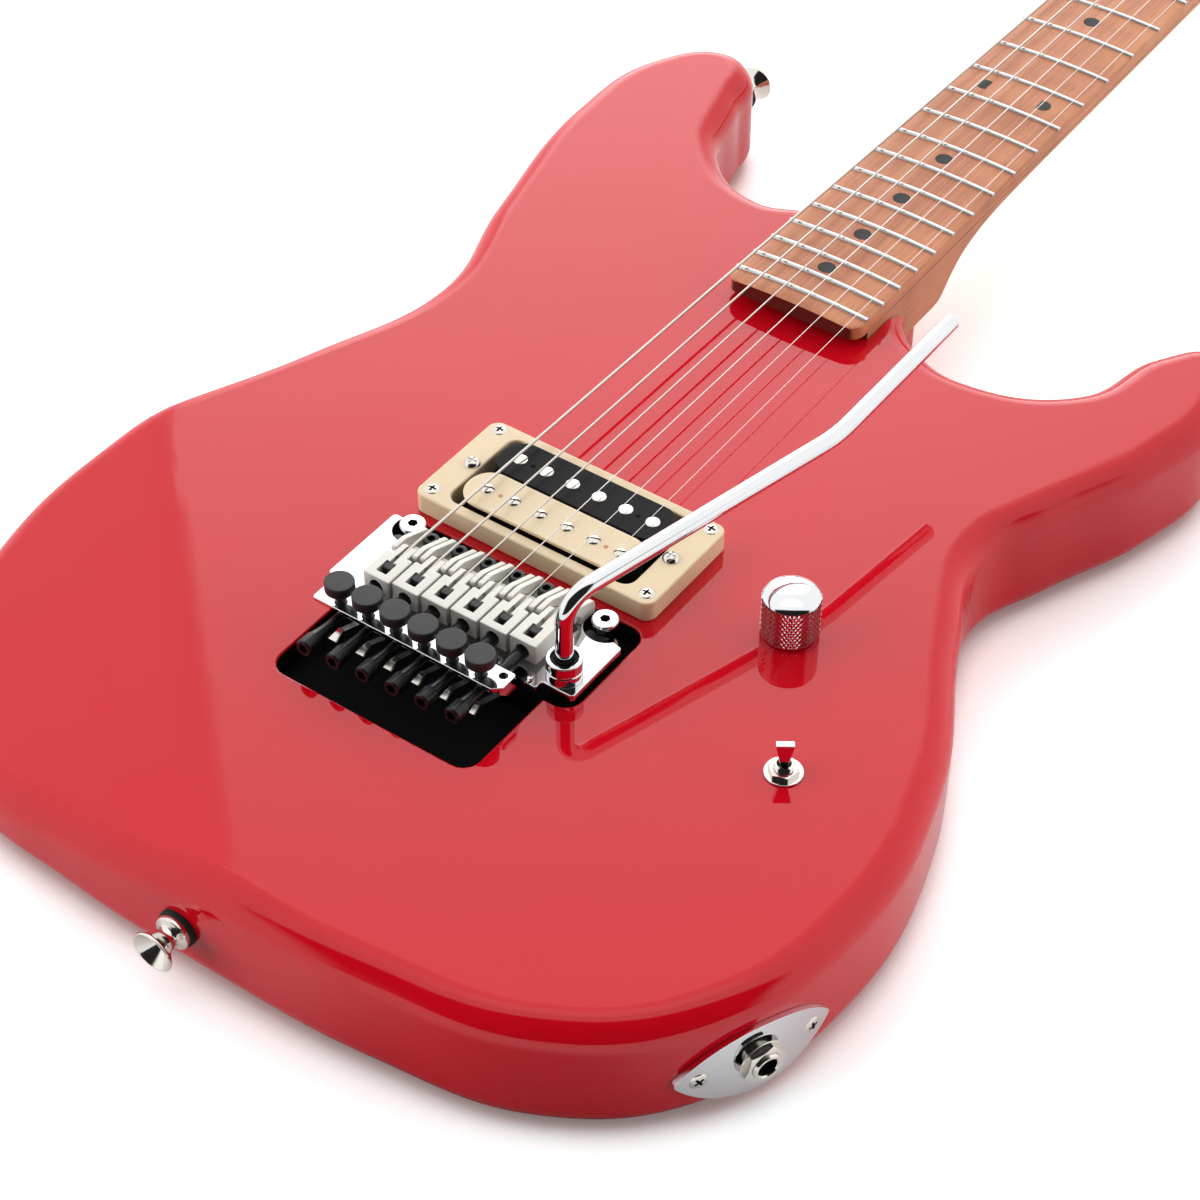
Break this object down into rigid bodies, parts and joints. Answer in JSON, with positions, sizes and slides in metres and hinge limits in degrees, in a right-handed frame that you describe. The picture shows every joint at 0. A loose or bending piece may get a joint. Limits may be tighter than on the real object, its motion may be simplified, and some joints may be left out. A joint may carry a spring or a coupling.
{
  "type": "electric guitar",
  "caption": "Solid-body electric guitar with a bolt-on maple neck, a floating locking tremolo with arm, one humbucking pickup, a volume knob and a mini toggle.",
  "frame": {"origin": "on the back, under the middle of the saddle line", "axes": "+Z out of the guitar's top, +Y from the bridge to the headstock, +X to the treble side"},
  "size_m": [0.3276, 0.9998, 0.0939],
  "materials": {
    "red_gloss": "solid timber under gloss red lacquer",
    "roasted_maple": "satin",
    "chrome": "polished",
    "satin_nickel": "satin nickel plate",
    "black_steel": "black oxide",
    "string_steel": "drawn wire",
    "cream_plastic": "smooth",
    "black_plastic": "smooth",
    "zinc": "plain"
  },
  "bodies": {
    "guitar": {"body": "red_gloss", "neck": "roasted_maple", "fretboard": "roasted_maple", "truss_rod": "zinc", "neck_plate": "chrome", "control_cover": "black_plastic", "spring_cover": "black_plastic", "strap_button_tail": "satin_nickel", "strap_button_horn": "satin_nickel", "locking_nut": "black_steel", "tuner_plate": "chrome", "pickup_ring": "cream_plastic", "slug_bobbin": "black_plastic", "screw_bobbin": "cream_plastic", "pickup_baseplate": "zinc", "volume_pot": "zinc", "toggle_switch": "zinc", "output_jack": "chrome", "jack_plate": "chrome", "pivot_stud_bass": "chrome", "pivot_stud_treble": "chrome", "spring_claw": "zinc", "string_1": "string_steel", "string_2": "string_steel", "string_3": "string_steel", "string_4": "string_steel", "string_5": "string_steel", "string_6": "string_steel", "tremolo_spring_1": "string_steel", "tremolo_spring_2": "string_steel"},
    "bridge": {"bridge_plate": "chrome", "sustain_block": "zinc", "arm_collar": "chrome"},
    "arm": {"tremolo_arm": "chrome"},
    "knob": {"volume_knob": "chrome"},
    "lever": {"toggle_lever": "chrome"},
    "saddle_1": {"saddle_1": "satin_nickel"},
    "fine_tuner_1": {"fine_tuner_1": "black_steel"},
    "tuner_button_1": {"tuner_button_1": "chrome"},
    "tuner_post_1": {"tuner_post_1": "chrome"},
    "saddle_2": {"saddle_2": "satin_nickel"},
    "fine_tuner_2": {"fine_tuner_2": "black_steel"},
    "tuner_button_2": {"tuner_button_2": "chrome"},
    "tuner_post_2": {"tuner_post_2": "chrome"},
    "saddle_3": {"saddle_3": "satin_nickel"},
    "fine_tuner_3": {"fine_tuner_3": "black_steel"},
    "tuner_button_3": {"tuner_button_3": "chrome"},
    "tuner_post_3": {"tuner_post_3": "chrome"},
    "saddle_4": {"saddle_4": "satin_nickel"},
    "fine_tuner_4": {"fine_tuner_4": "black_steel"},
    "tuner_button_4": {"tuner_button_4": "chrome"},
    "tuner_post_4": {"tuner_post_4": "chrome"},
    "saddle_5": {"saddle_5": "satin_nickel"},
    "fine_tuner_5": {"fine_tuner_5": "black_steel"},
    "tuner_button_5": {"tuner_button_5": "chrome"},
    "tuner_post_5": {"tuner_post_5": "chrome"},
    "saddle_6": {"saddle_6": "satin_nickel"},
    "fine_tuner_6": {"fine_tuner_6": "black_steel"},
    "tuner_button_6": {"tuner_button_6": "chrome"},
    "tuner_post_6": {"tuner_post_6": "chrome"}
  },
  "joints": [
    {"name": "tremolo_tilt", "type": "hinge", "parent": "guitar", "child": "bridge", "pos_m": [0, 0.0063, 0.0473], "axis": [1, 0, 0], "range_deg": [-12, 4], "stiffness_Nm_per_rad": 20, "deforming": ["string_1", "string_2", "string_3", "string_4", "string_5", "string_6", "tremolo_spring_1", "tremolo_spring_2"]},
    {"name": "arm_swivel", "type": "hinge", "parent": "bridge", "child": "arm", "pos_m": [0.0402, -0.0155, 0.052], "axis": [0, 0, 1], "continuous": true},
    {"name": "volume_turn", "type": "hinge", "parent": "guitar", "child": "knob", "pos_m": [0.0839, 0.0433, 0.054], "axis": [0, 0, 1], "range_deg": [-140, 140]},
    {"name": "toggle_flip", "type": "hinge", "parent": "guitar", "child": "lever", "pos_m": [0.1144, -0.0078, 0.0465], "axis": [0.8192, 0.5736, 0], "range_deg": [-12, 12]},
    {"name": "saddle_tilt_1", "type": "hinge", "parent": "bridge", "child": "saddle_1", "pos_m": [0.027, 0.007, 0.0489], "axis": [1, 0, 0], "range_deg": [-1.5, 2.5], "stiffness_Nm_per_rad": 2},
    {"name": "fine_tune_1", "type": "slide", "parent": "bridge", "child": "fine_tuner_1", "axis": [0, 0, 1], "range_m": [-0.0021, 0.0013]},
    {"name": "tuner_turn_1", "type": "hinge", "parent": "guitar", "child": "tuner_button_1", "pos_m": [0.00694, 0.81868, 0.0257], "axis": [-0.9694, 0.2456, 0], "continuous": true},
    {"name": "post_turn_1", "type": "hinge", "parent": "guitar", "child": "tuner_post_1", "pos_m": [0.01159, 0.8175, 0.05], "axis": [0, 0, 1], "continuous": true},
    {"name": "saddle_tilt_2", "type": "hinge", "parent": "bridge", "child": "saddle_2", "pos_m": [0.0162, 0.007, 0.0489], "axis": [1, 0, 0], "range_deg": [-1.5, 2.5], "stiffness_Nm_per_rad": 2},
    {"name": "fine_tune_2", "type": "slide", "parent": "bridge", "child": "fine_tuner_2", "axis": [0, 0, 1], "range_m": [-0.0021, 0.0013]},
    {"name": "tuner_turn_2", "type": "hinge", "parent": "guitar", "child": "tuner_button_2", "pos_m": [0.00113, 0.79318, 0.0257], "axis": [-0.9694, 0.2456, 0], "continuous": true},
    {"name": "post_turn_2", "type": "hinge", "parent": "guitar", "child": "tuner_post_2", "pos_m": [0.00578, 0.792, 0.05], "axis": [0, 0, 1], "continuous": true},
    {"name": "saddle_tilt_3", "type": "hinge", "parent": "bridge", "child": "saddle_3", "pos_m": [0.0054, 0.007, 0.0489], "axis": [1, 0, 0], "range_deg": [-1.5, 2.5], "stiffness_Nm_per_rad": 2},
    {"name": "fine_tune_3", "type": "slide", "parent": "bridge", "child": "fine_tuner_3", "axis": [0, 0, 1], "range_m": [-0.0021, 0.0013]},
    {"name": "tuner_turn_3", "type": "hinge", "parent": "guitar", "child": "tuner_button_3", "pos_m": [-0.00502, 0.76768, 0.0257], "axis": [-0.9694, 0.2456, 0], "continuous": true},
    {"name": "post_turn_3", "type": "hinge", "parent": "guitar", "child": "tuner_post_3", "pos_m": [-0.00036, 0.7665, 0.05], "axis": [0, 0, 1], "continuous": true},
    {"name": "saddle_tilt_4", "type": "hinge", "parent": "bridge", "child": "saddle_4", "pos_m": [-0.0054, 0.007, 0.0489], "axis": [1, 0, 0], "range_deg": [-1.5, 2.5], "stiffness_Nm_per_rad": 2},
    {"name": "fine_tune_4", "type": "slide", "parent": "bridge", "child": "fine_tuner_4", "axis": [0, 0, 1], "range_m": [-0.0021, 0.0013]},
    {"name": "tuner_turn_4", "type": "hinge", "parent": "guitar", "child": "tuner_button_4", "pos_m": [-0.01151, 0.74218, 0.0257], "axis": [-0.9694, 0.2456, 0], "continuous": true},
    {"name": "post_turn_4", "type": "hinge", "parent": "guitar", "child": "tuner_post_4", "pos_m": [-0.00686, 0.741, 0.05], "axis": [0, 0, 1], "continuous": true},
    {"name": "saddle_tilt_5", "type": "hinge", "parent": "bridge", "child": "saddle_5", "pos_m": [-0.0162, 0.007, 0.0489], "axis": [1, 0, 0], "range_deg": [-1.5, 2.5], "stiffness_Nm_per_rad": 2},
    {"name": "fine_tune_5", "type": "slide", "parent": "bridge", "child": "fine_tuner_5", "axis": [0, 0, 1], "range_m": [-0.0021, 0.0013]},
    {"name": "tuner_turn_5", "type": "hinge", "parent": "guitar", "child": "tuner_button_5", "pos_m": [-0.01829, 0.71668, 0.0257], "axis": [-0.9694, 0.2456, 0], "continuous": true},
    {"name": "post_turn_5", "type": "hinge", "parent": "guitar", "child": "tuner_post_5", "pos_m": [-0.01364, 0.7155, 0.05], "axis": [0, 0, 1], "continuous": true},
    {"name": "saddle_tilt_6", "type": "hinge", "parent": "bridge", "child": "saddle_6", "pos_m": [-0.027, 0.007, 0.0489], "axis": [1, 0, 0], "range_deg": [-1.5, 2.5], "stiffness_Nm_per_rad": 2},
    {"name": "fine_tune_6", "type": "slide", "parent": "bridge", "child": "fine_tuner_6", "axis": [0, 0, 1], "range_m": [-0.0021, 0.0013]},
    {"name": "tuner_turn_6", "type": "hinge", "parent": "guitar", "child": "tuner_button_6", "pos_m": [-0.02537, 0.69118, 0.0257], "axis": [-0.9694, 0.2456, 0], "continuous": true},
    {"name": "post_turn_6", "type": "hinge", "parent": "guitar", "child": "tuner_post_6", "pos_m": [-0.02072, 0.69, 0.05], "axis": [0, 0, 1], "continuous": true}
  ],
  "couplings": [
    {"joint": "fine_tune_1", "follows": "saddle_tilt_1", "m_per_rad": -0.0446},
    {"joint": "post_turn_1", "follows": "tuner_turn_1", "ratio": 0.066667},
    {"joint": "fine_tune_2", "follows": "saddle_tilt_2", "m_per_rad": -0.0446},
    {"joint": "post_turn_2", "follows": "tuner_turn_2", "ratio": 0.066667},
    {"joint": "fine_tune_3", "follows": "saddle_tilt_3", "m_per_rad": -0.0446},
    {"joint": "post_turn_3", "follows": "tuner_turn_3", "ratio": 0.066667},
    {"joint": "fine_tune_4", "follows": "saddle_tilt_4", "m_per_rad": -0.0446},
    {"joint": "post_turn_4", "follows": "tuner_turn_4", "ratio": 0.066667},
    {"joint": "fine_tune_5", "follows": "saddle_tilt_5", "m_per_rad": -0.0446},
    {"joint": "post_turn_5", "follows": "tuner_turn_5", "ratio": 0.066667},
    {"joint": "fine_tune_6", "follows": "saddle_tilt_6", "m_per_rad": -0.0446},
    {"joint": "post_turn_6", "follows": "tuner_turn_6", "ratio": 0.066667}
  ]
}
